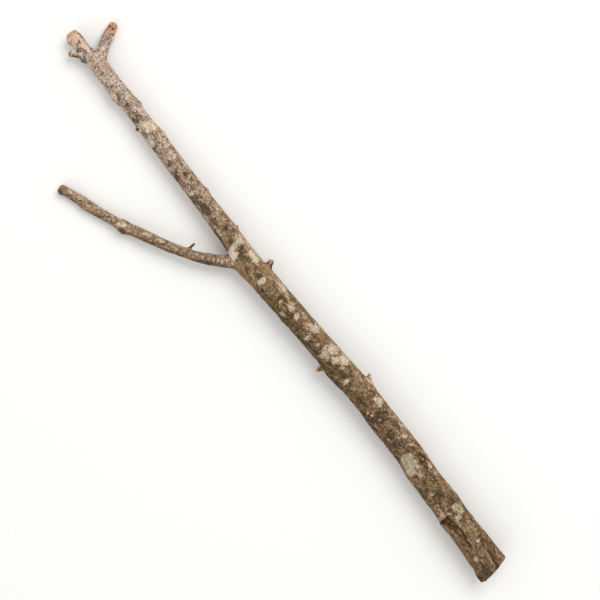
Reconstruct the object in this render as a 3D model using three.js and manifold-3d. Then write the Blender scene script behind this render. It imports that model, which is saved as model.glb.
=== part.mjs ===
// A fallen tree branch, 0.65 m long, lying on a level surface. Sizes are millimetres.
// It is drawn in stem coordinates: along the main stem from the sawn butt, across it towards the side branch, and up.
// It rests on the bark beside its butt, on the side branch's outer swelling and on the tip of the top spur.
// The wood grew as one piece. It is parted at its main forks into the stem below the fork, the leader above it,
// the side branch and the top spur.

import * as THREE from "three";
import { mergeVertices } from "three/addons/utils/BufferGeometryUtils.js";
import Module from "manifold-3d";

const wasm = await Module();
wasm.setup();

// The middle of the footprint and the resting surface, in stem coordinates.
const ORIGIN = new THREE.Vector3(324.24, 29.8, 0.0);

// Centre line and thickness of each limb: [along, across, up, radius].
const MAIN_STEM = [
  [0, -1.7, 16.4, 16.2],
  [14, -2.3, 15.6, 15.2],
  [47, -2.7, 15.7, 14.2],
  [83, -3.9, 15.8, 13.4],
  [119, -5.1, 16.3, 13.4],
  [140, -7.1, 16.6, 12.8],
  [180, -7.2, 16.9, 13.0],
  [215, -7.2, 17.0, 13.0],
  [238, -5.4, 16.8, 13.0],
  [262, -4.6, 16.4, 12.3],
  [315, -1.8, 16.0, 12.2],
  [352, -0.4, 15.6, 12.3],
  [372, 0.6, 15.3, 12.0],
  [391, -0.6, 14.8, 10.8],
  [409, -1.9, 14.3, 10.1],
  [442, -2.2, 13.4, 9.0],
  [471, -2.7, 12.7, 8.7],
  [504, -3.0, 12.0, 8.7],
  [521, -3.8, 11.7, 8.8],
  [540, -3.7, 11.4, 7.9],
  [560, -4.3, 11.0, 8.4],
  [575, -3.6, 10.8, 8.9],
  [589, -4.0, 10.5, 8.3],
  [604, -4.2, 10.3, 8.6],
  [617, -3.2, 10.1, 7.6],
  [629, -2.5, 9.9, 6.4],
  [640, -2.6, 9.8, 6.8],
  [649, -1.9, 9.7, 6.2],
];
const SIDE_BRANCH = [
  [373.5, 3.0, 14.6, 6.5],
  [383.1, 12.5, 14.2, 6.2],
  [390.2, 20.5, 13.8, 5.8],
  [398.6, 28.1, 13.4, 5.4],
  [409, 36.6, 12.9, 5.0],
  [420, 43.6, 12.2, 4.8],
  [433, 51.4, 11.3, 4.9],
  [450, 60.0, 9.9, 5.3],
  [462, 66.2, 8.9, 5.3],
  [473, 72.6, 7.9, 5.5],
  [484, 76.6, 7.0, 4.7],
  [497, 81.8, 6.0, 4.8],
  [511, 87.0, 5.24, 5.3],
  [521, 90.0, 5.0, 4.8],
  [541, 98.0, 4.9, 4.6],
];
const TOP_SPUR = [
  [611, -7.0, 9.9, 6.2],
  [615, -13.0, 9.2, 5.7],
  [620, -20.0, 8.0, 5.2],
  [624.5, -26.5, 6.8, 5.2],
  [628, -33.5, 5.4, 4.7],
  [631.5, -41.0, 3.68, 4.1],
];

const BUTT_SLANT = 9; // degrees that the saw cut is out of square
const BUTT_START = 0.9; // where the cut crosses the stem's centre line
const BUTT_RUNOUT = 12; // distance along over which cross-sections turn square again
const RING_STEP = 8; // between cross-sections
const FINE_RING_STEP = 3.3; // between cross-sections near a swelling
const STEM_SIDES = 24;
const TWIG_SIDES = 12;
const STUB_SIDES = 8;
const OVAL = 0.02; // share of the radius by which a cross-section is out of round
const OVAL_TURN = 61; // distance along the limb per radian that the oval turns
const THREE_SIDED = 0.015;
const THREE_SIDED_TURN = 37;

// A limb's far end is rounded off over its last few millimetres, as a weathered break is.
const END_ROUNDING = [
  { back: 2.6, share: 1 },
  { back: 0.9, share: 0.9 },
  { back: 0, share: 0.62 },
];
const END_CROWN = 0.6; // how far the middle of that end stands out

// Swellings of the bark: distance along, degrees around from the side-branch side over the top,
// height, and spread along and around. A ledge drops off towards the tip over its own short spread.
// A knot has a pit of the given depth and spread in its middle.
const STEM_LUMPS = [
  { along: 4, around: 10, height: 1.2, spreadAlong: 5, spreadAround: 4 }, // torn corner of the butt
  { along: 65, around: 28, height: 2.0, spreadAlong: 9, spreadAround: 8, ledge: 2 }, // torn lip of bark
  { along: 80, around: 184, height: 1.0, spreadAlong: 8, spreadAround: 8, ledge: 3 }, // lifted flakes
  { along: 100, around: 225, height: 0.8, spreadAlong: 12, spreadAround: 6 },
  { along: 126, around: 126, height: 1.8, spreadAlong: 6, spreadAround: 6, pit: 1.8, pitSpread: 2.6 },
  { along: 155, around: 330, height: 0.9, spreadAlong: 10, spreadAround: 6 },
  { along: 212, around: 175, height: 1.0, spreadAlong: 6, spreadAround: 6 },
  { along: 232, around: 70, height: 0.7, spreadAlong: 9, spreadAround: 5 },
  { along: 241, around: 4, height: 1.0, spreadAlong: 9, spreadAround: 6 },
  { along: 275, around: 123, height: 0.9, spreadAlong: 6, spreadAround: 4, pit: 1.0, pitSpread: 2.2 },
  { along: 303, around: 262, height: 1.8, spreadAlong: 6, spreadAround: 6, pit: 1.6, pitSpread: 2.4 },
  { along: 344, around: 61, height: 1.4, spreadAlong: 5, spreadAround: 5, pit: 1.4, pitSpread: 2.0 },
  { along: 371, around: 12, height: 1.6, spreadAlong: 7, spreadAround: 8 }, // collar of the fork
  { along: 387, around: 104, height: 1.8, spreadAlong: 6, spreadAround: 5, pit: 1.8, pitSpread: 2.2 },
  { along: 452, around: 184, height: 1.2, spreadAlong: 4, spreadAround: 4 },
  { along: 474, around: 107, height: 0.8, spreadAlong: 4, spreadAround: 4, pit: 0.9, pitSpread: 1.8 },
  { along: 497, around: 285, height: 1.3, spreadAlong: 6, spreadAround: 5, pit: 1.2, pitSpread: 2.0 },
  { along: 520, around: 180, height: 0.7, spreadAlong: 7, spreadAround: 5 },
  { along: 557, around: 176, height: 1.3, spreadAlong: 4, spreadAround: 4 },
  { along: 575, around: 8, height: 1.1, spreadAlong: 7, spreadAround: 6 },
  { along: 622.5, around: 5, height: 2.8, spreadAlong: 3, spreadAround: 4 },
  { along: 643.5, around: 10, height: 1.8, spreadAlong: 4, spreadAround: 4 },
];
const SIDE_LUMPS = [
  { along: 122, around: 5, height: 1.5, spreadAlong: 4, spreadAround: 4 },
  { along: 124, around: 175, height: 0.9, spreadAlong: 5, spreadAround: 4 },
  { along: 166, around: 20, height: 0.6, spreadAlong: 5, spreadAround: 4 },
  { along: 191, around: 20, height: 1.0, spreadAlong: 2.4, spreadAround: 3 },
];
const SPUR_LUMPS = [
  { along: 26, around: 180, height: 1.5, spreadAlong: 2.5, spreadAround: 3 },
];

// Broken twigs: where they leave the limb's middle, how far they lean from square towards its tip, and their size.
const STEM_STUBS = [
  { along: 185, around: 57, lean: 40, length: 2.6, base: 2.8, tip: 1.9 },
  { along: 211.5, around: 173, lean: 34, length: 6.6, base: 4.2, tip: 1.6 },
  { along: 252, around: 6, lean: 4, length: 6.0, base: 3.8, tip: 1.6 },
  { along: 356.5, around: 174, lean: 14, length: 6.2, base: 3.9, tip: 2.7 },
  { along: 406, around: 178, lean: 10, length: 1.8, base: 1.6, tip: 0.9 },
  { along: 533.5, around: 6, lean: 44, length: 4.2, base: 1.5, tip: 1.0 },
  { along: 627, around: 8, lean: 38, length: 9.5, base: 4.7, tip: 2.8 },
];
const SIDE_STUBS = [
  { along: 57.5, around: 184, lean: -25, length: 7.6, base: 1.4, tip: 1.0 },
];
const STUB_ROOT = 0.55; // share of the limb's radius at which a stub starts, inside the wood
const STUB_FLARE = 1.15; // share of its base radius that a stub has there
const STUB_WAIST = 0.45; // share of its length at which a stub has lost most of its taper
const STUB_SLANT = 0.5; // share of its tip radius by which a stub's break is out of square

// Where the forks part: distance along the limb, and the radius of a disc that cuts that limb alone.
const PARTING_GAP = 0.3;
const LEADER_PARTING = { along: 400, reach: 15 };
const SIDE_PARTING = { along: 26, reach: 9 };
const SPUR_PARTING = { along: 16, reach: 8 };

const OLD_BARK = new THREE.MeshStandardMaterial({ color: 0x826e56, roughness: 0.92, metalness: 0 });
const YOUNG_BARK = new THREE.MeshStandardMaterial({ color: 0xa18c78, roughness: 0.88, metalness: 0 });
const SPUR_BARK = new THREE.MeshStandardMaterial({ color: 0xb49a80, roughness: 0.85, metalness: 0 });

const UP = new THREE.Vector3(0, 0, 1);

// A limb's smooth centre line and radius, by distance along it.
class Limb {
  constructor(stations) {
    this.reach = [0];
    for (let i = 1; i < stations.length; i++) {
      const [a, b] = [stations[i - 1], stations[i]];
      this.reach.push(this.reach[i - 1] + Math.hypot(b[0] - a[0], b[1] - a[1], b[2] - a[2]));
    }
    this.length = this.reach.at(-1);
    this.curve = new THREE.CubicInterpolant(this.reach, stations.flat(), 4, new Float32Array(4));
  }

  at(along) {
    const [x, y, z, radius] = this.curve.evaluate(THREE.MathUtils.clamp(along, 0, this.length));
    return { centre: new THREE.Vector3(x, y, z), radius };
  }

  // Forward along the limb, level to its left, and square to both.
  frame(along) {
    const before = this.at(Math.max(0, along - 1)).centre;
    const forward = this.at(Math.min(this.length, along + 1)).centre.sub(before).normalize();
    const left = new THREE.Vector3().crossVectors(UP, forward).normalize();
    const over = new THREE.Vector3().crossVectors(forward, left);
    return { ...this.at(along), forward, left, over };
  }
}

function outwards(frame, around) {
  return frame.left.clone().multiplyScalar(Math.cos(around)).addScaledVector(frame.over, Math.sin(around));
}

// How far the bark stands out of a perfect round at one place.
function relief(along, around, radius, lumps) {
  const oval = OVAL * Math.sin(2 * around + along / OVAL_TURN);
  const threeSided = THREE_SIDED * Math.sin(3 * around - along / THREE_SIDED_TURN);
  let height = radius * (oval + threeSided);
  for (const lump of lumps) {
    const turn = around - THREE.MathUtils.degToRad(lump.around);
    const aside = Math.atan2(Math.sin(turn), Math.cos(turn)) * radius;
    const ahead = along - lump.along;
    const spreadAlong = lump.ledge && ahead > 0 ? lump.ledge : lump.spreadAlong;
    height += lump.height * Math.exp(-((ahead / spreadAlong) ** 2) - (aside / lump.spreadAround) ** 2);
    if (lump.pit) {
      height -= lump.pit * Math.exp(-(ahead ** 2 + aside ** 2) / lump.pitSpread ** 2);
    }
  }
  return height;
}

// Distances along a limb for its cross-sections, closer together where the bark swells.
function ringStops(length, lumps) {
  const stops = [0];
  while (stops.at(-1) < length) {
    const here = stops.at(-1);
    const swelling = lumps.some((lump) => Math.abs(here - lump.along) < lump.spreadAlong + FINE_RING_STEP);
    stops.push(here + (swelling ? FINE_RING_STEP : RING_STEP));
  }
  stops.pop();
  return stops;
}

// A closed skin over rings of points, from a flat first ring to a last one, each with a point at its middle.
function skinOver(rings, firstMiddle, lastMiddle) {
  const sides = rings[0].length;
  const points = [...rings.flat(), firstMiddle, lastMiddle];
  const first = points.length - 2;
  const last = points.length - 1;
  const faces = [];
  for (let j = 0; j < sides; j++) {
    const k = (j + 1) % sides;
    faces.push(first, k, j);
    for (let i = 0; i + 1 < rings.length; i++) {
      const [a, b] = [i * sides, (i + 1) * sides];
      faces.push(a + j, a + k, b + k, a + j, b + k, b + j);
    }
    const end = (rings.length - 1) * sides;
    faces.push(last, end + j, end + k);
  }
  return new THREE.BufferGeometry().setFromPoints(points).setIndex(faces);
}

function solidOf(geometry) {
  const merged = mergeVertices(geometry, 1e-4);
  return new wasm.Manifold(
    new wasm.Mesh({
      numProp: 3,
      vertProperties: new Float32Array(merged.attributes.position.array),
      triVerts: new Uint32Array(merged.index.array),
    }),
  );
}

// A limb's solid, from a flat first ring, which may be cut at a slant, to a rounded far end.
function limbSolid(limb, sides, lumps, { start, slant } = { start: 0, slant: 0 }) {
  const body = limb.length - END_ROUNDING[0].back;
  const stops = ringStops(body - 1, lumps).map((along) => ({ along, share: 1 }));
  END_ROUNDING.forEach(({ back, share }) => stops.push({ along: limb.length - back, share }));
  const rings = stops.map(({ along, share }) => {
    const frame = limb.frame(along);
    return Array.from({ length: sides }, (_, j) => {
      const around = (2 * Math.PI * j) / sides;
      const radius = (frame.radius + relief(along, around, frame.radius, lumps)) * share;
      const point = outwards(frame, around).multiplyScalar(radius).add(frame.centre);
      const slanted = Math.max(0, 1 - along / BUTT_RUNOUT);
      point.x += slanted * (start - (point.y - frame.centre.y) * Math.tan(slant));
      return point;
    });
  });
  const foot = limb.at(0).centre;
  foot.x += start;
  const end = limb.frame(limb.length);
  const tip = end.centre.clone().addScaledVector(end.forward, END_CROWN);
  return solidOf(skinOver(rings, foot, tip));
}

// A broken twig: a tapered stump that starts inside its limb and ends in a slanting break.
function stubSolid(limb, { along, around, lean, length, base, tip }) {
  const frame = limb.frame(along);
  const out = outwards(frame, THREE.MathUtils.degToRad(around));
  const tilt = THREE.MathUtils.degToRad(lean);
  const axis = out.clone().multiplyScalar(Math.cos(tilt)).addScaledVector(frame.forward, Math.sin(tilt));
  const across = new THREE.Vector3().crossVectors(axis, frame.forward).normalize();
  const beside = new THREE.Vector3().crossVectors(axis, across);
  const root = frame.centre.clone().addScaledVector(out, frame.radius * STUB_ROOT);
  const buried = frame.radius * (1 - STUB_ROOT);
  const stations = [
    { out: 0, radius: base * STUB_FLARE },
    { out: buried, radius: base },
    { out: buried + length * STUB_WAIST, radius: (base + tip * 2) / 3 },
    { out: buried + length, radius: tip },
  ];
  const rings = stations.map(({ out: distance, radius }, i) =>
    Array.from({ length: STUB_SIDES }, (_, j) => {
      const turn = (2 * Math.PI * j) / STUB_SIDES;
      const slantingBreak = i === stations.length - 1 ? tip * STUB_SLANT * Math.cos(turn) : 0;
      return root
        .clone()
        .addScaledVector(axis, distance + slantingBreak)
        .addScaledVector(across, radius * Math.cos(turn))
        .addScaledVector(beside, radius * Math.sin(turn));
    }),
  );
  const end = root.clone().addScaledVector(axis, buried + length);
  return solidOf(skinOver(rings, root, end));
}

// A thin disc square to a limb, which parts it there.
function partingSolid(limb, { along, reach }) {
  const frame = limb.frame(along);
  const disc = new THREE.CylinderGeometry(reach, reach, PARTING_GAP, 24);
  disc.deleteAttribute("normal");
  disc.deleteAttribute("uv");
  disc.applyQuaternion(new THREE.Quaternion().setFromUnitVectors(new THREE.Vector3(0, 1, 0), frame.forward));
  disc.translate(frame.centre.x, frame.centre.y, frame.centre.z);
  return solidOf(disc);
}

function geometryOf(solid) {
  const { numProp, vertProperties, triVerts } = solid.getMesh();
  const position = new Float32Array((vertProperties.length / numProp) * 3);
  for (let i = 0; i < position.length / 3; i++) {
    position.set(vertProperties.subarray(i * numProp, i * numProp + 3), i * 3);
  }
  const geometry = new THREE.BufferGeometry();
  geometry.setAttribute("position", new THREE.BufferAttribute(position, 3));
  geometry.setIndex(new THREE.BufferAttribute(new Uint32Array(triVerts), 1));
  geometry.computeVertexNormals();
  return geometry;
}

const stem = new Limb(MAIN_STEM);
const side = new Limb(SIDE_BRANCH);
const spur = new Limb(TOP_SPUR);

function wholeBranch() {
  const grown = [
    limbSolid(stem, STEM_SIDES, STEM_LUMPS, { start: BUTT_START, slant: THREE.MathUtils.degToRad(BUTT_SLANT) }),
    limbSolid(side, TWIG_SIDES, SIDE_LUMPS),
    limbSolid(spur, TWIG_SIDES, SPUR_LUMPS),
    ...STEM_STUBS.map((stub) => stubSolid(stem, stub)),
    ...SIDE_STUBS.map((stub) => stubSolid(side, stub)),
  ];
  return grown.reduce((joined, solid) => joined.add(solid));
}

// Each limb's name, its bark and a point well inside it, by which the parted pieces are told apart.
const LIMBS = [
  { name: "lower_stem", bark: OLD_BARK, inside: stem.at(200).centre },
  { name: "upper_stem", bark: YOUNG_BARK, inside: stem.at(525).centre },
  { name: "side_branch", bark: YOUNG_BARK, inside: side.at(120).centre },
  { name: "top_spur", bark: SPUR_BARK, inside: spur.at(30).centre },
];

function middleOf(solid) {
  const { min, max } = solid.boundingBox();
  return new THREE.Vector3(...min).add(new THREE.Vector3(...max)).multiplyScalar(0.5);
}

const branch = new THREE.Group();
branch.name = "fallen_branch";
const pieces = [
  partingSolid(stem, LEADER_PARTING),
  partingSolid(side, SIDE_PARTING),
  partingSolid(spur, SPUR_PARTING),
]
  .reduce((rest, disc) => rest.subtract(disc), wholeBranch())
  .decompose();
for (const { name, bark, inside } of LIMBS) {
  const nearest = pieces
    .map((piece) => ({ piece, distance: middleOf(piece).distanceTo(inside) }))
    .reduce((best, other) => (other.distance < best.distance ? other : best));
  const mesh = new THREE.Mesh(geometryOf(nearest.piece), bark);
  mesh.name = name;
  mesh.position.copy(ORIGIN).negate();
  branch.add(mesh);
}

export default branch;
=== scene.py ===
import math

import bmesh
import bpy
import numpy as np
from mathutils import Matrix, Vector


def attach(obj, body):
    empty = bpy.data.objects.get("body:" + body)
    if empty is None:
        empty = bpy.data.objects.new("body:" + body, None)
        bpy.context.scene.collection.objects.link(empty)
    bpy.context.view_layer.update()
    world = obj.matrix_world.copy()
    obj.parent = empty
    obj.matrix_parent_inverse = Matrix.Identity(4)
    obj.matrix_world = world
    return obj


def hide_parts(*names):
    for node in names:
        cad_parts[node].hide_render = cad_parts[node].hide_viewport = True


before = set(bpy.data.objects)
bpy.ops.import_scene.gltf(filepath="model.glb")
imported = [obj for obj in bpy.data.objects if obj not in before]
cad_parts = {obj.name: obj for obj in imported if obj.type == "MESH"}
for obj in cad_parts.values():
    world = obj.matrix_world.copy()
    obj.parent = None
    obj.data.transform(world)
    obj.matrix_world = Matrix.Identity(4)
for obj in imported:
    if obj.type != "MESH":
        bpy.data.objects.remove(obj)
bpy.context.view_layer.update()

# The branch is worked out in millimetres, in stem coordinates: along the main stem from the sawn butt,
# across it towards the side branch, and up. ORIGIN is where the frame's own origin lies in them.
ORIGIN = np.array([324.24, 29.8, 0.0])
METRES = 0.001

# Centre line and thickness of each limb: along, across, up, radius.
MAIN_STEM = [
    (0, -1.7, 16.4, 16.2), (14, -2.3, 15.6, 15.2), (47, -2.7, 15.7, 14.2), (83, -3.9, 15.8, 13.4),
    (119, -5.1, 16.3, 13.4), (140, -7.1, 16.6, 12.8), (180, -7.2, 16.9, 13.0), (215, -7.2, 17.0, 13.0),
    (238, -5.4, 16.8, 13.0), (262, -4.6, 16.4, 12.3), (315, -1.8, 16.0, 12.2), (352, -0.4, 15.6, 12.3),
    (372, 0.6, 15.3, 12.0), (391, -0.6, 14.8, 10.8), (409, -1.9, 14.3, 10.1), (442, -2.2, 13.4, 9.0),
    (471, -2.7, 12.7, 8.7), (504, -3.0, 12.0, 8.7), (521, -3.8, 11.7, 8.8), (540, -3.7, 11.4, 7.9),
    (560, -4.3, 11.0, 8.4), (575, -3.6, 10.8, 8.9), (589, -4.0, 10.5, 8.3), (604, -4.2, 10.3, 8.6),
    (617, -3.2, 10.1, 7.6), (629, -2.5, 9.9, 6.4), (640, -2.6, 9.8, 6.8), (649, -1.9, 9.7, 6.2),
]
SIDE_BRANCH = [
    (373.5, 3.0, 14.6, 6.5), (383.1, 12.5, 14.2, 6.2), (390.2, 20.5, 13.8, 5.8), (398.6, 28.1, 13.4, 5.4),
    (409, 36.6, 12.9, 5.0), (420, 43.6, 12.2, 4.8), (433, 51.4, 11.3, 4.9), (450, 60.0, 9.9, 5.3),
    (462, 66.2, 8.9, 5.3), (473, 72.6, 7.9, 5.5), (484, 76.6, 7.0, 4.7), (497, 81.8, 6.0, 4.8),
    (511, 87.0, 5.24, 5.3), (521, 90.0, 5.0, 4.8), (541, 98.0, 4.9, 4.6),
]
TOP_SPUR = [
    (611, -7.0, 9.9, 6.2), (615, -13.0, 9.2, 5.7), (620, -20.0, 8.0, 5.2), (624.5, -26.5, 6.8, 5.2),
    (628, -33.5, 5.4, 4.7), (631.5, -41.0, 3.68, 4.1),
]

# Swellings: along, degrees around from the side-branch side over the top, height, spread along and
# around. Some have the short spread of a ledge towards the tip, or a knot's pit and its spread.
STEM_LUMPS = [
    dict(along=4, around=10, height=1.2, spread=(5, 4)),
    dict(along=65, around=28, height=2.0, spread=(9, 8), ledge=2),
    dict(along=80, around=184, height=1.0, spread=(8, 8), ledge=3),
    dict(along=100, around=225, height=0.8, spread=(12, 6)),
    dict(along=126, around=126, height=1.8, spread=(6, 6), pit=1.8, pit_spread=2.6),
    dict(along=155, around=330, height=0.9, spread=(10, 6)),
    dict(along=212, around=175, height=1.0, spread=(6, 6)),
    dict(along=232, around=70, height=0.7, spread=(9, 5)),
    dict(along=241, around=4, height=1.0, spread=(9, 6)),
    dict(along=275, around=123, height=0.9, spread=(6, 4), pit=1.0, pit_spread=2.2),
    dict(along=303, around=262, height=1.8, spread=(6, 6), pit=1.6, pit_spread=2.4),
    dict(along=344, around=61, height=1.4, spread=(5, 5), pit=1.4, pit_spread=2.0),
    dict(along=371, around=12, height=1.6, spread=(7, 8)),
    dict(along=387, around=104, height=1.8, spread=(6, 5), pit=1.8, pit_spread=2.2),
    dict(along=452, around=184, height=1.2, spread=(4, 4)),
    dict(along=474, around=107, height=0.8, spread=(4, 4), pit=0.9, pit_spread=1.8),
    dict(along=497, around=285, height=1.3, spread=(6, 5), pit=1.2, pit_spread=2.0),
    dict(along=520, around=180, height=0.7, spread=(7, 5)),
    dict(along=557, around=176, height=1.3, spread=(4, 4)),
    dict(along=575, around=8, height=1.1, spread=(7, 6)),
    dict(along=622.5, around=5, height=2.8, spread=(3, 4)),
    dict(along=643.5, around=10, height=1.8, spread=(4, 4)),
]
SIDE_LUMPS = [
    dict(along=122, around=5, height=1.5, spread=(4, 4)),
    dict(along=124, around=175, height=0.9, spread=(5, 4)),
    dict(along=166, around=20, height=0.6, spread=(5, 4)),
    dict(along=191, around=20, height=1.0, spread=(2.4, 3)),
]
SPUR_LUMPS = [dict(along=26, around=180, height=1.5, spread=(2.5, 3))]

# Broken twigs: where they leave the limb's middle, how far they lean from square towards its tip, and
# their size.
STEM_STUBS = [
    dict(along=185, around=57, lean=40, length=2.6, base=2.8, tip=1.9),
    dict(along=211.5, around=173, lean=34, length=6.6, base=4.2, tip=1.6),
    dict(along=252, around=6, lean=4, length=6.0, base=3.8, tip=1.6),
    dict(along=356.5, around=174, lean=14, length=6.2, base=3.9, tip=2.7),
    dict(along=406, around=178, lean=10, length=1.8, base=1.6, tip=0.9),
    dict(along=533.5, around=6, lean=44, length=4.2, base=1.5, tip=1.0),
    dict(along=627, around=8, lean=38, length=9.5, base=4.7, tip=2.8),
]
SIDE_STUBS = [dict(along=57.5, around=184, lean=-25, length=7.6, base=1.4, tip=1.0)]

BUTT_SLANT, BUTT_START = math.radians(9), 0.9
OVAL, OVAL_TURN = 0.02, 61
THREE_SIDED, THREE_SIDED_TURN = 0.015, 37
STUB_ROOT, STUB_FLARE, STUB_WAIST, STUB_SLANT = 0.55, 1.15, 0.45, 0.5
STUB_RAGGED, STUB_RAGGED_EVERY = 0.35, 0.9
END_WOBBLE, END_WOBBLE_EVERY = 0.5, 2.2

# How softly limbs, stubs, ends and the butt's rim run into each other.
FORK_BLEND = 3.2
STUB_BLEND = 1.8
END_BLEND = 3.4
BREAK_BLEND = 0.9
RIM_BLEND = 0.7

# Where the forks part, and how far from the limb's middle the cut reaches.
LEADER_PARTING = (400, 15)
SIDE_PARTING = (26, 9)
SPUR_PARTING = (16, 8)
PARTING_MARGIN = 1.25
CAP_SLOT = 1

# The skin's mesh size, the furthest that a point moves in one round of fitting it to the field, and how
# many rounds, the step for measuring the field's slope, and the rounds of finding a point's place on a limb.
VOXEL = 0.68
FIT_MOVE, FIT_ROUNDS = 1.5, 3
SLOPE_STEP = 0.05
LOCATE_ROUNDS = 3

# Farther than anything on the branch, and how far around a side limb or stub its own field is worked out.
FAR = 50.0
LIMB_MARGIN, STUB_MARGIN = 16, 8


def smoothstep(low, high, value):
    share = np.clip((value - low) / (high - low), 0, 1)
    return share * share * (3 - 2 * share)


def smooth_min(a, b, blend):
    near = np.maximum(blend - np.abs(a - b), 0) / blend
    return np.minimum(a, b) - near * near * blend / 4


def smooth_max(a, b, blend):
    return -smooth_min(-a, -b, blend)


def hashed(cell, seed):
    """A steady number from 0 to 1 for each whole-number point."""
    x, y, z = (cell[:, i].astype(np.uint32) for i in range(3))
    mixed = x * np.uint32(374761393) + y * np.uint32(668265263) + z * np.uint32(2246822519)
    mixed += np.uint32((seed * 3266489917 + 97) % 2**32)
    mixed = (mixed ^ (mixed >> np.uint32(15))) * np.uint32(2246822519)
    mixed = (mixed ^ (mixed >> np.uint32(13))) * np.uint32(3266489917)
    return (mixed ^ (mixed >> np.uint32(16))) / 2.0**32


def noise(points, seed=0):
    """Smooth noise from -1 to 1, with a bump about every unit."""
    cell = np.floor(points).astype(np.int64)
    part = points - cell
    part = part * part * (3 - 2 * part)
    total = np.zeros(len(points))
    for corner in np.ndindex(2, 2, 2):
        weight = np.prod(np.where(np.array(corner) == 1, part, 1 - part), axis=1)
        total += weight * hashed(cell + np.array(corner), seed)
    return 2 * total - 1


def fractal(points, octaves=3, gain=0.5, seed=0):
    total, weight, whole = np.zeros(len(points)), 1.0, 0.0
    for octave in range(octaves):
        total += weight * noise(points * 2.03**octave + 17.3 * octave, seed + octave)
        whole += weight
        weight *= gain
    return total / whole


def cells(points, seed=0):
    """Distance to the nearest of scattered seeds and to the next, and the nearest one's own number."""
    base = np.floor(points).astype(np.int64)
    first = np.full(len(points), 9.0)
    second = first.copy()
    tag = np.zeros(len(points))
    for step in np.ndindex(3, 3, 3):
        cell = base + np.array(step) - 1
        spot = cell + np.stack([hashed(cell, seed + i) for i in range(3)], axis=1)
        distance = np.linalg.norm(points - spot, axis=1)
        closer = distance < first
        second = np.where(closer, first, np.minimum(second, distance))
        tag = np.where(closer, hashed(cell, seed + 3), tag)
        first = np.where(closer, distance, first)
    return first, second, tag


def unit(vectors):
    return vectors / np.linalg.norm(vectors, axis=-1, keepdims=True)


class Limb:
    """A limb's smooth centre line and thickness, and the skin around it."""

    SAMPLE = 0.5

    def __init__(self, stations, lumps):
        table = np.array(stations, float)
        reach = np.concatenate([[0], np.cumsum(np.linalg.norm(np.diff(table[:, :3], axis=0), axis=1))])
        slopes = np.empty_like(table)
        slopes[1:-1] = (table[2:] - table[:-2]) / (reach[2:] - reach[:-2])[:, None]
        slopes[0] = (table[1] - table[0]) / reach[1]
        slopes[-1] = (table[-1] - table[-2]) / (reach[-1] - reach[-2])
        self.length = reach[-1]
        self.samples = np.linspace(0, self.length, int(self.length / self.SAMPLE))
        piece = np.clip(np.searchsorted(reach, self.samples, side="right") - 1, 0, len(reach) - 2)
        span = (reach[piece + 1] - reach[piece])[:, None]
        t = (self.samples - reach[piece])[:, None] / span
        self.line = (
            (2 * t**3 - 3 * t**2 + 1) * table[piece]
            + (t**3 - 2 * t**2 + t) * span * slopes[piece]
            + (3 * t**2 - 2 * t**3) * table[piece + 1]
            + (t**3 - t**2) * span * slopes[piece + 1]
        )
        self.forwards = unit(np.gradient(self.line[:, :3], self.samples, axis=0))
        self.lumps = lumps

    def at(self, along):
        """Centre, thickness, and the directions forward, level to the left and square to both."""
        *centre, radius = (np.interp(along, self.samples, column) for column in self.line.T)
        forward = [np.interp(along, self.samples, column) for column in self.forwards.T]
        centre, forward = np.stack(centre, axis=-1), unit(np.stack(forward, axis=-1))
        left = unit(np.cross([0.0, 0.0, 1.0], forward))
        return centre, radius, forward, left, np.cross(forward, left)

    def skin(self, along, around):
        """How far the smooth bark lies from the centre line."""
        radius = np.interp(along, self.samples, self.line[:, 3])
        oval = OVAL * np.sin(2 * around + along / OVAL_TURN)
        three_sided = THREE_SIDED * np.sin(3 * around - along / THREE_SIDED_TURN)
        height = radius * (oval + three_sided)
        for lump in self.lumps:
            ahead = along - lump["along"]
            aside = turned(around, math.radians(lump["around"])) * radius
            spread, spread_around = lump["spread"]
            spread = np.where(ahead > 0, lump.get("ledge", spread), spread)
            height += lump["height"] * np.exp(-((ahead / spread) ** 2) - (aside / spread_around) ** 2)
            if "pit" in lump:
                height -= lump["pit"] * np.exp(-(ahead**2 + aside**2) / lump["pit_spread"] ** 2)
        return radius + height

    def locate(self, points):
        """Each point's distance along the limb, past its end, out from its centre line, and its turn."""
        chord = unit(self.line[-1, :3] - self.line[0, :3])
        shadow = (self.line[:, :3] - self.line[0, :3]) @ chord
        along = np.interp((points - self.line[0, :3]) @ chord, shadow, self.samples)
        for _ in range(LOCATE_ROUNDS):
            centre, _, forward, *_ = self.at(along)
            along = np.clip(along + ((points - centre) * forward).sum(1), 0, self.length)
        centre, _, forward, left, over = self.at(along)
        offset = points - centre
        level, up = (offset * left).sum(1), (offset * over).sum(1)
        return along, (offset * forward).sum(1), np.hypot(level, up), np.arctan2(up, level)

    def surface(self, along, around):
        centre, _, _, left, over = self.at(along)
        out = left * np.cos(around)[:, None] + over * np.sin(around)[:, None]
        return centre + out * self.skin(along, around)[:, None]


def turned(around, other):
    """The angle from other to around, the short way."""
    return np.arctan2(np.sin(around - other), np.cos(around - other))


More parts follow.
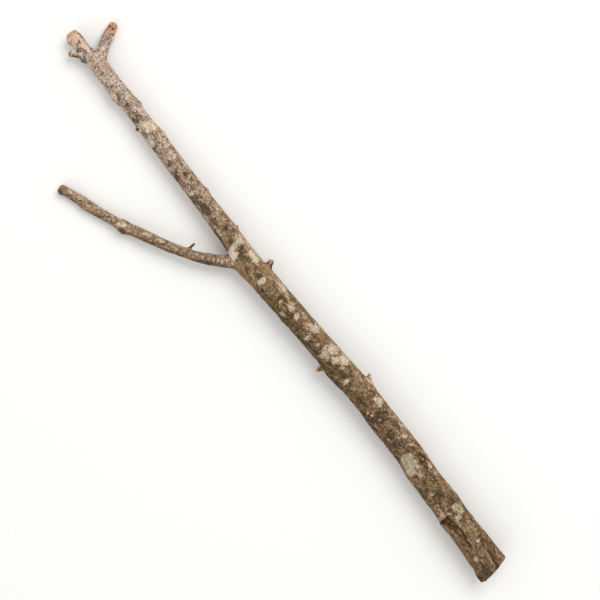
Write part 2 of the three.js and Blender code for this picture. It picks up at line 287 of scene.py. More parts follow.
class Stub:
    """A broken twig: a tapered stump that starts inside its limb and ends in a ragged break."""

    def __init__(self, limb, along, around, lean, length, base, tip):
        centre, radius, forward, left, over = limb.at(along)
        around, lean = math.radians(around), math.radians(lean)
        out = left * math.cos(around) + over * math.sin(around)
        self.axis = out * math.cos(lean) + forward * math.sin(lean)
        self.across = unit(np.cross(self.axis, forward))
        self.beside = np.cross(self.axis, self.across)
        self.root = centre + out * radius * STUB_ROOT
        buried = radius * (1 - STUB_ROOT)
        self.buried, self.reach, self.tip = buried, buried + length, tip
        self.stops = [0, buried, buried + length * STUB_WAIST, self.reach]
        self.radii = [base * STUB_FLARE, base, (base + tip * 2) / 3, tip]

    def locate(self, points):
        offset = points - self.root
        a, b = offset @ self.across, offset @ self.beside
        return offset @ self.axis, np.hypot(a, b), np.arctan2(b, a)

    def field(self, points):
        along, out, turn = self.locate(points)
        ragged = STUB_RAGGED * self.tip * noise(points / STUB_RAGGED_EVERY, 5)
        end = self.reach + self.tip * STUB_SLANT * np.cos(turn) + ragged
        side = out - np.interp(along, self.stops, self.radii)
        return np.maximum(smooth_max(side, along - end, BREAK_BLEND), -along)


stem = Limb(MAIN_STEM, STEM_LUMPS)
side = Limb(SIDE_BRANCH, SIDE_LUMPS)
spur = Limb(TOP_SPUR, SPUR_LUMPS)
LIMBS = {"stem": stem, "side": side, "spur": spur}
STUBS = [Stub(stem, **stub) for stub in STEM_STUBS] + [Stub(side, **stub) for stub in SIDE_STUBS]


def butt_plane(points):
    """Distance outside the slanting saw cut."""
    centre = stem.line[0]
    slanted = points[:, 0] - BUTT_START + (points[:, 1] - centre[1]) * math.tan(BUTT_SLANT)
    return -slanted * math.cos(BUTT_SLANT)


def limb_field(name, points):
    """Distance outside one limb's smooth bark."""
    limb = LIMBS[name]
    along, past, out, around = limb.locate(points)
    wobble = END_WOBBLE * noise(points / END_WOBBLE_EVERY, 11)
    value = smooth_max(out - limb.skin(along, around), along + past - limb.length - wobble, END_BLEND)
    if name == "stem":
        return smooth_max(value, butt_plane(points), RIM_BLEND)
    return smooth_max(value, -along - past, END_BLEND)


def field(points):
    """Distance outside the whole branch with smooth bark."""
    value = limb_field("stem", points)
    for name in ("side", "spur"):
        limb = LIMBS[name]
        low, high = limb.line[:, :3].min(0) - LIMB_MARGIN, limb.line[:, :3].max(0) + LIMB_MARGIN
        near = np.flatnonzero(((points > low) & (points < high)).all(1))
        value[near] = smooth_min(value[near], limb_field(name, points[near]), FORK_BLEND)
    for stub in STUBS:
        near = np.flatnonzero(np.linalg.norm(points - stub.root, axis=1) < stub.reach + STUB_MARGIN)
        value[near] = smooth_min(value[near], stub.field(points[near]), STUB_BLEND)
    return value


def uphill(points, value):
    """The field's slope at points where its value is already known."""
    return np.stack([(field(points + axis) - value) / SLOPE_STEP for axis in np.eye(3) * SLOPE_STEP], axis=1)


def tube(rings):
    """A closed skin over rings of points."""
    count, sides = rings.shape[:2]
    points = np.concatenate([rings.reshape(-1, 3), rings[:1].mean(1), rings[-1:].mean(1)])
    first, last = len(points) - 2, len(points) - 1
    end = (count - 1) * sides
    faces = []
    for j in range(sides):
        k = (j + 1) % sides
        faces += [(first, k, j), (last, end + j, end + k)]
        faces += [(i + j, i + k, i + sides + k, i + sides + j) for i in range(0, end, sides)]
    return points, faces


def limb_tube(limb, sides=36, step=1.5):
    stops = np.linspace(0, limb.length, int(limb.length / step))
    turns = np.arange(sides) * 2 * math.pi / sides
    rings = np.stack([limb.surface(np.full(sides, stop), turns) for stop in stops])
    if limb is stem:
        rings[0, :, 0] += BUTT_START - (rings[0, :, 1] - stem.line[0, 1]) * math.tan(BUTT_SLANT)
    return tube(rings)


def stub_tube(stub, sides=16):
    turns = np.arange(sides)[:, None] * 2 * math.pi / sides
    rim = np.cos(turns) * stub.across + np.sin(turns) * stub.beside
    return tube(np.stack([stub.root + stub.axis * out + rim * r for out, r in zip(stub.stops, stub.radii)]))


def grown_mesh():
    """One even skin over all the limbs and stubs, drawn onto the smooth field."""
    points, faces, base = [], [], 0
    tubes = [limb_tube(limb) for limb in LIMBS.values()] + [stub_tube(stub) for stub in STUBS]
    for part_points, part_faces in tubes:
        points.append(part_points)
        faces += [tuple(base + i for i in face) for face in part_faces]
        base += len(part_points)
    mesh = bpy.data.meshes.new("grown")
    mesh.from_pydata(np.concatenate(points).tolist(), [], faces)
    rough = bpy.data.objects.new("grown", mesh)
    bpy.context.scene.collection.objects.link(rough)
    remesh = rough.modifiers.new("even", "REMESH")
    remesh.mode = "VOXEL"
    remesh.voxel_size = VOXEL
    skin = bpy.data.meshes.new_from_object(rough.evaluated_get(bpy.context.evaluated_depsgraph_get()))
    bpy.data.objects.remove(rough)
    place = np.empty(len(skin.vertices) * 3)
    skin.vertices.foreach_get("co", place)
    place = place.reshape(-1, 3)
    for _ in range(FIT_ROUNDS):
        value = field(place)
        slope = uphill(place, value)
        move = slope * (value / np.maximum((slope**2).sum(1), 0.2))[:, None]
        place -= np.clip(move, -FIT_MOVE, FIT_MOVE)
    return skin, place, unit(slope)


# Where each limb's grain starts, along the stem, and how its bark ages from its foot to its tip.
GRAIN_START = {"stem": 0, "side": 374, "spur": 611}
AGE = {"stem": (0.0, 1.0), "side": (0.66, 0.71), "spur": (0.93, 1.0)}
# The side that is painted palest, partly from weathering and partly as painted light on the side that faces
# the key light. Along the stem, how much paler it is there, how light the bark is all round, and how strongly
# it is mottled, and the same for the whole of each other limb.
LIT_AND_WEATHERED_SIDE = math.radians(150)
STEM_LIT_AND_WEATHERED = [
    (0, 0.0, -0.11, 0.9), (25, 0.0, -0.07, 0.9), (50, 0.11, -0.02, 0.95), (85, 0.0, -0.05, 1.15),
    (130, 0.04, -0.05, 1.1), (160, 0.08, -0.08, 1.25), (185, 0.2, -0.1, 1.35), (205, 0.12, -0.05, 1.0),
    (235, 0.3, -0.09, 0.85), (260, 0.13, -0.12, 0.85), (310, 0.17, -0.13, 0.85), (340, 0.18, -0.01, 0.9),
    (362, 0.06, 0.06, 0.9), (410, 0.08, 0.08, 1.0), (450, 0.05, 0.0, 1.1), (478, 0.1, 0.06, 1.2),
    (500, 0.0, 0.0, 1.3), (590, 0.0, 0.06, 1.55), (615, 0.0, 0.0, 1.5), (650, 0.0, -0.03, 1.4),
]
LIMB_LIT_AND_WEATHERED = {"side": (0.19, 0.05, 0.95), "spur": (0.04, 0.02, 1.25)}

# Marks, by kind and limb: distance along, degrees around, half length, half width, strength.
MARKS = {
    "pale": {
        "stem": [
            (8, 97, 3, 2, 0.5), (48, 235, 5, 4, 0.7), (56, 90, 2.5, 2, 0.5), (61, 93, 3, 2.2, 0.6),
            (62, 107, 2.5, 2.5, 0.7), (116, 78, 3.2, 2.6, 0.6), (118, 305, 6, 4, 0.8),
            (118.5, 142, 4, 2.6, 0.9), (126.5, 128, 1.5, 1.3, 0.8), (130, 146, 6, 3, 0.4),
            (135, 94, 3, 3, 0.3), (144, 124, 5, 3, 0.4), (154, 122, 4, 3, 0.5), (159.5, 50, 2, 1.5, 0.5),
            (168, 150, 14, 4.4, 0.45), (187.6, 64, 1.4, 1.5, 1), (191, 118, 3, 3, 0.6),
            (194.5, 131, 5.6, 4.8, 1), (205, 262, 7, 5, 0.9), (212, 160, 9, 3.4, 0.45),
            (213, 163, 5, 4, 0.6), (228, 73, 2, 3.8, 0.9), (240, 98, 3, 3, 0.5), (244, 130, 6, 5, 0.9),
            (249, 160, 15, 3.4, 0.6), (249, 103, 5.5, 4.4, 0.85), (258, 128, 8, 6, 0.9),
            (260, 72, 6, 4.4, 0.75), (262, 100, 5.5, 5, 0.65), (271, 83, 2.4, 2.4, 0.8),
            (282, 75, 3.6, 5, 0.6), (284, 157, 9, 3.4, 0.6), (284, 124, 6, 4.8, 1), (288, 225, 6, 4, 0.8),
            (291, 104, 4, 3, 0.5), (300, 128, 6, 3, 0.4), (304.5, 95, 3, 4.2, 0.8),
            (314, 110, 5.4, 4.4, 0.85), (315, 52, 3.4, 2.8, 0.6), (325, 90, 1.7, 3, 0.6),
            (325, 125, 3.4, 2.4, 0.8), (333, 140, 8, 4, 0.6), (350.5, 83, 2.8, 5.4, 0.95),
            (352, 285, 5, 4, 0.7), (363, 70, 2.6, 2.4, 0.5), (372, 155, 7, 3, 0.7),
            (374, 130, 7.6, 3.6, 0.9), (386, 150, 9, 3, 0.55), (392.6, 98, 2.8, 9, 0.8),
            (397, 124, 5, 4, 0.5), (412, 52, 8, 2.8, 0.45), (418.5, 50, 1.6, 1.2, 0.9),
            (430, 142, 12, 3.6, 0.35), (436, 240, 5, 3, 0.7), (455, 105, 4, 1.6, 0.4),
            (456.5, 52, 2.4, 3.2, 0.85), (478, 152, 2.5, 2, 0.7), (485, 146, 5, 2.4, 0.6),
            (497, 117, 4.6, 3.2, 0.6), (506, 120, 4, 3, 0.4), (511, 78, 3, 2.4, 0.5),
            (519, 41, 5.4, 3.4, 1), (521.5, 114, 4.6, 3.2, 0.3), (535, 34, 3.4, 2.4, 0.8),
            (540, 300, 4, 3, 0.7), (555, 110, 4, 3, 0.5), (566, 117, 4.4, 3.6, 0.65),
            (566, 142, 5, 2.5, 0.4), (576.8, 42, 4.4, 3.6, 1), (579, 110, 4, 3, 0.6),
            (589.5, 78, 4.4, 4, 0.8), (594, 56, 6, 4.5, 0.6), (596, 92, 5, 4, 0.4), (614, 138, 5, 3, 0.7),
            (626, 46, 2.4, 1.8, 0.9), (633, 62, 2, 1.6, 0.6), (636, 24, 3, 3, 1),
        ],
        "side": [
            (12, 74, 0.9, 2.4, 0.7), (17.5, 88, 0.9, 2, 0.6), (22, 82, 1, 2.8, 0.8),
            (26, 100, 0.8, 2, 0.6), (30, 90, 1, 2.4, 0.75), (35, 106, 0.8, 2, 0.6), (41, 98, 1, 2, 0.55),
            (47, 110, 0.9, 1.6, 0.5), (84, 118, 6, 2, 0.5), (100, 112, 5, 2, 0.4), (123, 112, 3, 2.4, 1),
            (127, 86, 2.4, 2, 0.9), (160, 84, 3, 2.2, 0.6), (184, 108, 4, 2.5, 0.5),
        ],
        "spur": [(6, 92, 3, 3, 0.5), (11, 84, 4, 3, 0.7), (25, 165, 1.8, 1.8, 1)],
    },
    "lichen": {
        "stem": [
            (20.5, 58, 3.4, 3, 0.6), (88, 275, 8, 6, 0.9), (94.5, 72, 2.3, 1.7, 0.7), (104, 85, 4, 3, 0.3),
            (116, 80, 4.4, 3, 0.6), (123, 40, 5, 3.6, 0.8), (124, 62, 5, 5, 1), (127, 86, 6, 3.6, 0.9),
            (132, 55, 8, 6.5, 1), (136, 72, 4, 5, 0.9), (158, 110, 3, 3, 0.35), (170, 210, 6, 5, 0.8),
            (172, 95, 3, 3, 0.3), (179.5, 79, 1.8, 1.6, 0.7), (330, 330, 6, 4, 0.7), (345, 68, 3, 2, 0.6),
            (366, 118, 2.5, 2, 0.5), (410, 48, 7, 2.4, 0.4),
        ],
        "side": [(80, 250, 5, 2.5, 0.7), (158, 70, 3, 2, 0.5)],
    },
    "yellow": {
        "stem": [
            (60, 100, 2.4, 2, 0.4), (234.5, 103, 3.2, 3.2, 0.65), (238.5, 46, 3, 2.2, 0.7),
            (248, 62, 2.5, 2, 0.4), (273, 34, 4.6, 2.2, 0.7), (302, 85, 3, 3, 0.35),
            (323, 71, 3.4, 3.4, 0.5), (371, 14, 5, 3, 0.5), (527, 108, 1.8, 4.6, 0.7),
            (536, 44, 2, 2, 0.7), (545, 132, 5, 3, 0.3), (643, 18, 3, 3, 0.7),
        ],
    },
    "cream": {
        "stem": [
            (377, 134, 4.4, 2.6, 0.6), (386.5, 46, 5.4, 6.2, 1), (391, 60, 3.6, 4.4, 0.8),
            (395, 134, 3, 4, 0.55),
        ],
    },
    "sand": {
        "stem": [
            (66, 127, 4.2, 4.4, 1), (69.8, 121, 4.2, 4.8, 1), (532.4, 111, 6.4, 7.4, 1),
            (590, 84, 3.4, 3, 0.6),
        ],
    },
    "white": {
        "stem": [
            (33.4, 109, 1.9, 2.2, 0.7), (70.6, 77, 1.1, 1.8, 0.6), (394, 112, 2, 4.4, 0.75),
            (625, 40, 1.6, 1.8, 0.8), (633.5, 30, 2, 1.6, 0.8),
        ],
    },
    # Dark patches of bark; the one at 126 mm and 109 degrees is painted shadow on the knot's upper side.
    "dark": {
        "stem": [
            (6, 68, 6.5, 6, 0.8), (12, 42, 7, 3, 0.5), (20, 75, 3, 4, 0.4), (45, 97, 2.4, 1.6, 0.5),
            (60, 124, 2, 2.2, 0.7), (77.5, 122, 4, 5, 0.85), (80, 102, 4, 4, 0.4), (87, 66, 5, 4, 0.6),
            (90, 88, 8, 8, 0.7), (102, 106, 1.8, 1.8, 0.8), (116, 66, 1.2, 1.4, 0.9),
            (126, 109, 3.6, 1.7, 1), (140, 102, 4.6, 5.6, 0.85), (148, 84, 5, 4.4, 0.6),
            (149, 112, 4, 3, 0.6), (150, 250, 8, 6, 0.7), (151, 72, 6, 5, 0.85), (156, 42, 6, 2.5, 0.5),
            (160, 82, 4, 4, 0.6), (163, 118, 3, 3, 0.5), (177, 72, 3, 2.6, 0.5), (183, 91, 6.6, 5.8, 0.9),
            (190, 62, 5, 3.4, 0.7), (222, 62, 5, 5, 0.6), (224, 85, 3, 3, 0.5), (235, 82, 5.4, 3.8, 0.85),
            (245, 55, 4, 3, 0.4), (246, 122, 2.2, 1.2, 0.6), (250, 320, 8, 5, 0.7),
            (253, 114, 1.4, 2.8, 0.7), (266, 55, 3.5, 4, 0.6), (274, 102, 3.8, 2.6, 0.7),
            (293, 90, 3, 4, 0.4), (296, 62, 4, 4, 0.45), (307, 62, 5, 4, 0.45), (320, 95, 3, 3, 0.4),
            (328, 98, 3.4, 4.2, 0.7), (333, 60, 4, 3, 0.4), (338, 88, 3, 3, 0.5), (343.5, 60, 3, 3, 0.85),
            (355.5, 88, 3.8, 3.6, 0.8), (368, 70, 4, 4, 0.45), (375, 100, 4, 3.4, 0.55),
            (383.8, 89, 4.2, 2.6, 1), (385, 111, 4.6, 3, 0.9), (394, 72, 1.4, 1.1, 0.95),
            (396, 60, 1.3, 1.2, 0.95), (397.5, 77, 3.2, 2.8, 0.7), (400, 265, 8, 5, 0.7),
            (402, 84, 3, 3, 0.5), (409, 22, 13, 2.4, 0.95), (412, 94, 4.2, 3.4, 0.85),
            (416, 40, 2.6, 1.2, 0.8), (424, 64, 7, 5, 0.6), (430, 100, 4, 3, 0.5), (430, 90, 8, 5, 0.4),
            (437, 70, 8, 4.6, 0.85), (443, 72, 2.4, 1.8, 0.8), (451, 75, 4, 3, 0.5),
            (478, 45, 4.6, 2.8, 0.8), (480, 280, 7, 4, 0.6), (482, 62, 2.2, 2, 0.7),
            (492, 65, 2.8, 3.6, 0.8), (504, 60, 3, 3, 0.4), (512, 38, 4.6, 3, 0.95),
            (530, 42, 8, 2.6, 0.6), (543, 66, 2.8, 2.2, 0.8), (546, 96, 5.5, 4, 0.45),
            (546, 42, 6, 3, 0.6), (552, 65, 10, 3.8, 0.4), (562, 82, 4, 2.6, 0.45), (572, 55, 6, 3, 0.5),
            (585, 50, 3, 2.5, 0.4), (621, 20, 4, 4, 0.8), (622, 50, 3, 3, 0.6), (624, 14, 3, 4, 0.8),
            (628, 15, 4, 4, 0.6), (632, 50, 4.4, 2.2, 0.7), (644, 22, 3, 2.2, 0.4),
        ],
        "side": [
            (40, 45, 12, 2.4, 0.6), (60, 70, 5, 3, 0.35), (70, 38, 14, 2.2, 0.5), (100, 38, 14, 2.2, 0.5),
            (121, 50, 4, 3, 0.75), (150, 38, 14, 2.2, 0.5), (171, 80, 1.1, 1.1, 1),
            (180, 38, 10, 2.2, 0.5), (192, 45, 3, 3, 0.8),
        ],
    },
    # Painted shade: dark where the bark sinks in beside stubs, the torn lip, the knot and flecks, with a few
    # dark spots on the spur's broken end.
    "hollow_shade_and_spots": {
        "stem": [
            (1.5, 22, 3, 4.5, 0.8), (31, 121, 1.1, 2.4, 0.8), (35.8, 130, 1.5, 2.6, 0.9),
            (36.4, 111, 0.9, 1.6, 0.7), (55, 68, 5.5, 2, 0.5), (62, 55, 3.8, 2.8, 0.55),
            (66.2, 40, 2.2, 7, 0.9), (121.4, 128, 1.3, 2.8, 0.7), (126, 114, 4.4, 1.5, 0.9),
            (126, 139, 4, 1.4, 0.8), (131.4, 127, 1.5, 3.6, 0.95), (178, 62, 7.5, 1.3, 0.85),
            (184.6, 60, 1.6, 2.4, 0.9), (188.2, 52, 2.4, 2.2, 1), (355, 173, 3, 3, 0.75),
            (537.6, 6, 1.6, 3, 0.9),
        ],
        "side": [(55, 184, 5, 1.8, 0.85)],
        "spur": [
            (29, 150, 1.5, 1.1, 0.8), (30, 40, 1.2, 1, 0.8), (33, 112, 1.8, 1.5, 1), (34, 62, 1.8, 1.8, 1),
        ],
    },
    "rust": {
        "stem": [
            (3, 42, 2.2, 2, 0.4), (4, 120, 1.3, 2, 0.7), (80, 158, 6, 2.4, 0.6), (96, 151, 6, 3.4, 0.6),
            (121.6, 123, 1.6, 2, 0.7), (125, 153, 6, 1.6, 0.4), (127, 139, 5, 1.5, 0.8),
            (173, 158, 14, 2, 0.4), (190, 56, 1.2, 1.6, 0.8), (207, 151, 5, 2.4, 0.55),
            (269, 122, 4.2, 1.6, 0.7), (275.6, 125, 2.6, 2.3, 1), (347.5, 55, 1.4, 1.9, 1),
            (385.5, 112, 3.6, 2, 0.6), (391, 102, 2, 2, 0.9), (415, 103, 1.3, 1.2, 1),
            (421, 152, 3.8, 1.8, 0.9), (557, 160, 1.7, 1.7, 0.9), (641, 158, 7, 1.5, 0.5),
            (647, 128, 2.4, 1.8, 0.7), (648, 62, 2, 3, 0.6),
        ],
        "side": [(122, 142, 2.4, 1.4, 0.8), (168, 150, 3, 1.4, 0.5), (184, 60, 1.6, 1.2, 0.5)],
    },
    "rosy": {
        "stem": [
            (330, 152, 12, 4, 0.35), (430, 112, 10, 5, 0.4), (470, 62, 10, 6, 0.3), (494, 100, 4, 3, 0.4),
            (503, 88, 4.4, 3.4, 0.9), (592, 96, 8, 5, 0.5), (602, 72, 8, 6, 0.45), (604, 114, 9, 3.4, 1),
        ],
        "spur": [(22, 60, 3.6, 4.2, 0.7)],
    },
    "peeled": {
        "stem": [
            (70.2, 42, 1.9, 7, 1), (73.2, 54, 3.2, 4, 0.9), (77.5, 60, 4, 2, 0.75), (80, 92, 3, 2.6, 0.4),
            (82, 45, 4, 3, 0.4),
        ],
    },
    "wood": {
        "stem": [
            (613, 102, 4.8, 1.1, 1), (620.5, 106, 5.4, 1.4, 1), (627.5, 114, 5, 1.7, 1),
            (635, 112, 5.4, 3.6, 1), (641, 95, 5, 6, 1),
        ],
    },
}

# Cracks and furrows in the stem's bark: points as distance along and degrees around, half width and depth.
CRACKS = [
    ([(0, 108), (6, 110), (11, 109), (14.5, 115), (24, 114), (30.5, 120)], 0.7, 1.0),
    (
        [(33.5, 71), (37, 74), (41, 72), (43.5, 77), (49, 82), (53, 80), (58, 74), (63, 70), (68, 66)],
        0.9, 1.2,
    ),
    ([(56, 68), (61, 58), (65, 46), (66.5, 32)], 1.6, 0.9),
    ([(67, 24), (67.4, 42), (68.4, 60), (69.4, 70)], 0.7, 1.1),
    ([(70.6, 30), (74, 44), (77, 58), (80, 68)], 0.45, 0.5),
    ([(71, 66), (76, 70), (80, 74), (83.4, 73)], 0.6, 0.8),
    ([(97, 118), (104, 120), (111, 117), (116.5, 117), (120, 119)], 0.6, 0.8),
    ([(571.6, 82), (571.2, 100), (571.9, 118), (571.4, 138)], 0.45, 0.5),
    ([(574.4, 95), (574.8, 116), (574.2, 130)], 0.4, 0.4),
    ([(568.4, 92), (568, 112)], 0.35, 0.35),
    ([(473.4, 98), (477, 101), (474.4, 118)], 0.5, 0.6),
    ([(635.4, 95), (637.6, 102)], 0.8, 0.9),
]
# The butt's saw marks: how far apart, how deep, and their lean. Then its checks, which run out from the pith:
# direction in degrees, and length.
SAW_MARK, SAW_DEPTH, SAW_TILT = 1.15, 0.05, 0.4
BUTT_CHECKS = [(95, 9), (212, 6.5), (330, 5)]

# Ring-shaped scars: limb, distance along, degrees around, radius of the ring, strength of its raised rim.
RING_SCARS = [
    ("stem", 126.6, 126, 3.6, 1.0), ("stem", 271, 83, 1.6, 0.4), ("stem", 344, 60, 2.4, 0.8),
    ("stem", 387.4, 105, 2.6, 0.7), ("stem", 590.5, 77, 2.4, 0.35), ("side", 171, 80, 1.5, 0.6),
]

# Each stub's looks, in the order of the stubs: how much of its length is bare, how rusty the bare wood
# is, and how far the bare wood runs down the side that faces the limb's tip.
STUB_LOOKS = [
    (0.0, 0.9, 0.0), (0.14, 0.9, 0.0), (0.2, 1.0, 0.9), (0.3, 1.0, 0.0),
    (0.0, 0.6, 0.3), (0.1, 0.9, 0.0), (0.2, 0.9, 0.1), (0.0, 0.8, 0.1),
]


# How far past its half lengths a mark is looked for, and the least share in a limb that takes its marks.
MARK_MARGIN, LEAST_SHARE = 4, 0.01
# Where bark gives way to bare wood: just inside the cut ends, in millimetres from them, and along the stem's
# tip and the spur.
BARE_ENDS = {"side": 3, "spur": 5}
BARE_TIP, BARE_SPUR = (641, 647), (27.5, 29.5)
# How softly one limb's bark runs over into the next one's.
SHARE_BLEND = 0.6


def add_mark(mask, place, mark, edge):
    """Lays one mark over what its kind covers already, fading towards a wandering edge."""
    along, around, length, width, strength = mark
    near = np.abs(place["along"] - along) < 2 * length + MARK_MARGIN
    window = np.flatnonzero(near & (place["share"] > LEAST_SHARE))
    aside = turned(place["around"][window], math.radians(around)) * place["skin"][window]
    distance = np.hypot((place["along"][window] - along) / length, aside / width)
    cover = strength * smoothstep(1.5, 0.35, distance + edge[window]) * place["share"][window]
    mask[window] = np.maximum(mask[window], cover)


def line_distance(place, path):
    """Distance over the bark to a crack's path."""
    ends = [(along, math.radians(around)) for along, around in path]
    best = np.full(len(place["along"]), FAR)
    for (along_a, around_a), (along_b, around_b) in zip(ends, ends[1:]):
        x = place["along"] - along_a
        y = turned(place["around"], around_a) * place["skin"]
        run, rise = along_b - along_a, (around_b - around_a) * place["skin"]
        share = np.clip((x * run + y * rise) / (run**2 + rise**2), 0, 1)
        best = np.minimum(best, np.hypot(x - share * run, y - share * rise))
    return best


def limb_places(points):
    """For each limb, where every point lies on it, and its share in it, which runs over from limb to limb."""
    places = {}
    for name, limb in LIMBS.items():
        along, past, out, around = limb.locate(points)
        skin = limb.skin(along, around)
        near = np.where(np.abs(past) > 3, FAR, np.hypot(np.maximum(out - skin, 0), past))
        share = np.exp(-near / SHARE_BLEND) + 1e-30
        places[name] = dict(along=along, past=past, out=out, around=around, skin=skin, share=share)
        places[name]["under"] = skin - out
    whole = sum(place["share"] for place in places.values())
    for place in places.values():
        place["share"] = place["share"] / whole
    return places


def grain_place(places):
    """Bark coordinates that follow each limb: along, and across its section."""
    grain, age = 0.0, 0.0
    for name, place in places.items():
        along = GRAIN_START[name] + place["along"] + place["past"]
        section = [place["out"] * np.cos(place["around"]), place["out"] * np.sin(place["around"])]
        grain += place["share"][:, None] * np.stack([along, *section], axis=1)
        foot, tip = AGE[name]
        age += place["share"] * (foot + (tip - foot) * place["along"] / LIMBS[name].length)
    return grain, age


def bark_masks(points, places, grain):
    """Where each kind of mark and bare wood lie."""
    ragged = fractal(grain / 2.2, 3, 0.6, seed=40)
    edge = 0.42 * ragged + 0.45 * fractal(grain / 5.5, 2, seed=45)
    masks = {kind: np.zeros(len(points)) for kind in MARKS}
    for kind, limbs in MARKS.items():
        for name, marks in limbs.items():
            for mark in marks:
                add_mark(masks[kind], places[name], mark, edge)
    for name, depth in BARE_ENDS.items():
        place = places[name]
        at_end = place["along"] > LIMBS[name].length - depth
        bare = at_end * smoothstep(0.7, 1.3, place["under"] + 0.5 * ragged)
        masks["wood"] = np.maximum(masks["wood"], bare)
    tip = places["stem"]["share"] * smoothstep(*BARE_TIP, places["stem"]["along"] + 3 * ragged)
    spur_end = places["spur"]["share"] * smoothstep(*BARE_SPUR, places["spur"]["along"] + 4 * ragged)
    masks["wood"] = np.maximum.reduce([masks["wood"], tip, spur_end])
    masks["rust"] = np.maximum(masks["rust"], 0.75 * spur_end)
    for stub, (bare, rust, flank) in zip(STUBS, STUB_LOOKS):
        along, _, turn = stub.locate(points)
        span = stub.reach - stub.buried
        on_stub = smoothstep(1.2, 0.4, np.abs(stub.field(points))) * smoothstep(-1, 1, along - stub.buried)
        outer = smoothstep(-0.8, 0.8, along - stub.reach + bare * span + 0.8 * ragged)
        facing = flank * smoothstep(0.1, -0.6, np.sin(turn) + 0.3 * ragged)
        bared = on_stub * np.maximum(outer, facing)
        masks["wood"] = np.maximum(masks["wood"], bared)
        masks["rust"] = np.maximum(masks["rust"], rust * bared)
    # The painted shade and dark spots lie over bare wood too.
    masks["wood"] *= 1 - 0.9 * masks["hollow_shade_and_spots"]
    return masks, ragged


def bark_tone(places, grain, ragged):
    """How much lighter the bark is than usual, palest on the side towards the key light (partly weathering,
    partly painted light), and how strongly mottled.
    """
    tone, mottled = 0.05 * ragged, 0.0
    stops, *stem_lit_and_weathered = np.transpose(STEM_LIT_AND_WEATHERED)
    for name, place in places.items():
        if name == "stem":
            paler, whole, contrast = (np.interp(place["along"], stops, values) for values in stem_lit_and_weathered)
        else:
            paler, whole, contrast = LIMB_LIT_AND_WEATHERED[name]
        # Partly painted light: the bark is painted paler on the side that faces the key light and darker away
        # from it, on top of real weathering.
        tone += place["share"] * (whole + paler * (np.cos(place["around"] - LIT_AND_WEATHERED_SIDE) - 0.35))
        mottled += place["share"] * contrast
    return tone, mottled * (1 + 0.45 * fractal(grain / 15, 2, seed=71))


# Sizes along and around the limb, in millimetres, of the bark's lumps, grit and scales, and of the wood's
# coarse and fine fibres, the length of the side branch's wrinkles, and the kinds of mark that stand proud.
LUMP_SIZE, GRIT_SIZE, SCALE_SIZE = (10, 6.5, 6.5), (2.3, 1.7, 1.7), (5.2, 3.6, 3.6)
FIBRE_SIZE, FINE_FIBRE_SIZE = (7, 0.8, 0.8), (3, 0.45, 0.45)
WRINKLE, WRINKLE_HEIGHT = 2.6, 0.22
MARK_HEIGHTS = {"lichen": 0.22, "pale": 0.12, "white": 0.3, "rust": -0.1}


def bump(distance, width):
    """A rounded bump, 1 at no distance."""
    return np.exp(-((distance / width) ** 2))


def bark_relief(places, grain, age, masks, ragged):
    """How far the bark stands out from the smooth skin, and how strongly it is split into scales."""
    wood, old = masks["wood"], 1 - age
    lumps = (0.28 + 0.42 * old) * fractal(grain / LUMP_SIZE, 3, 0.55, seed=1)
    grit = (0.16 + 0.2 * old) * fractal(grain / GRIT_SIZE, 2, 0.6, seed=9)
    first, second, tag = cells((grain + 1.4 * ragged[:, None]) / SCALE_SIZE, seed=20)
    gap = smoothstep(0.24, 0.02, second - first)
    scaly = smoothstep(-0.35, 0.35, fractal(grain / 17, 2, seed=31)) * (0.15 + 0.85 * old)
    plates = scaly * (0.55 * (tag - 0.5) - 0.4 * gap)
    relief = (lumps + grit + plates) * (1 - 0.75 * wood)
    relief += wood * 0.16 * (noise(grain / FIBRE_SIZE, 51) + 0.5 * noise(grain / FINE_FIBRE_SIZE, 52))
    place = places["side"]
    twisted = place["along"] + 0.9 * ragged + 0.8 * np.sin(place["around"])
    wrinkled = place["share"] * (0.35 + 0.65 * smoothstep(60, 30, place["along"]))
    relief += wrinkled * WRINKLE_HEIGHT * np.sin(2 * math.pi * twisted / WRINKLE) * (1 - wood)
    for kind, height in MARK_HEIGHTS.items():
        relief += height * masks[kind]
    return relief, 0.55 * gap * scaly * (1 - wood)


def cut_cracks(places, relief, split, ragged):
    """Cuts cracks and ring-shaped scars into the relief, and adds them to where the bark is split."""
    place = places["stem"]
    for path, width, depth in CRACKS:
        cover = bump(line_distance(place, path) + 0.35 * width * ragged, width) * place["share"]
        relief = relief - depth * cover
        split = np.maximum(split, cover * min(1.0, 1.0 / width + 0.1))
    for name, along, around, radius, strength in RING_SCARS:
        place = places[name]
        aside = turned(place["around"], math.radians(around)) * place["skin"]
        distance = np.hypot(place["along"] - along, aside) + 0.3 * radius * ragged
        rim = bump(distance - radius, 0.32 * radius) * place["share"]
        groove = bump(distance - 0.55 * radius, 0.22 * radius) * place["share"]
        relief = relief + strength * (0.45 * rim - 0.9 * groove)
        split = np.maximum(split, groove * min(1, strength + 0.2))
    return relief, split


def butt_relief(points, places):
    """Saw marks and checks on the sawn butt, and how far each point is on it."""
    place = places["stem"]
    on_face = smoothstep(-0.9, -0.15, butt_plane(points)) * smoothstep(0.2, 0.9, place["under"])
    stroke = points[:, 2] + SAW_TILT * points[:, 1]
    saw = SAW_DEPTH * (np.sin(2 * math.pi * stroke / SAW_MARK) + noise(points / 1.2, 61))
    checks = np.zeros(len(points))
    for direction, length in BUTT_CHECKS:
        turn = turned(place["around"], math.radians(direction) + 0.05 * noise(points / 3, 62))
        width = 0.28 * np.clip(1 - place["out"] / length, 0, 1) + 0.05
        ahead = (np.cos(turn) > 0) & (place["out"] < length)
        checks = np.maximum(checks, bump(np.sin(turn) * place["out"], width) * ahead)
    return on_face, on_face * (saw - 0.8 * checks), on_face * checks


def store(mesh, name, kind, values):
    """Keeps numbers or directions on the mesh's points."""
    key = "value" if kind == "FLOAT" else "vector"
    mesh.attributes.new(name, kind, "POINT").data.foreach_set(key, values.astype(np.float32).ravel())


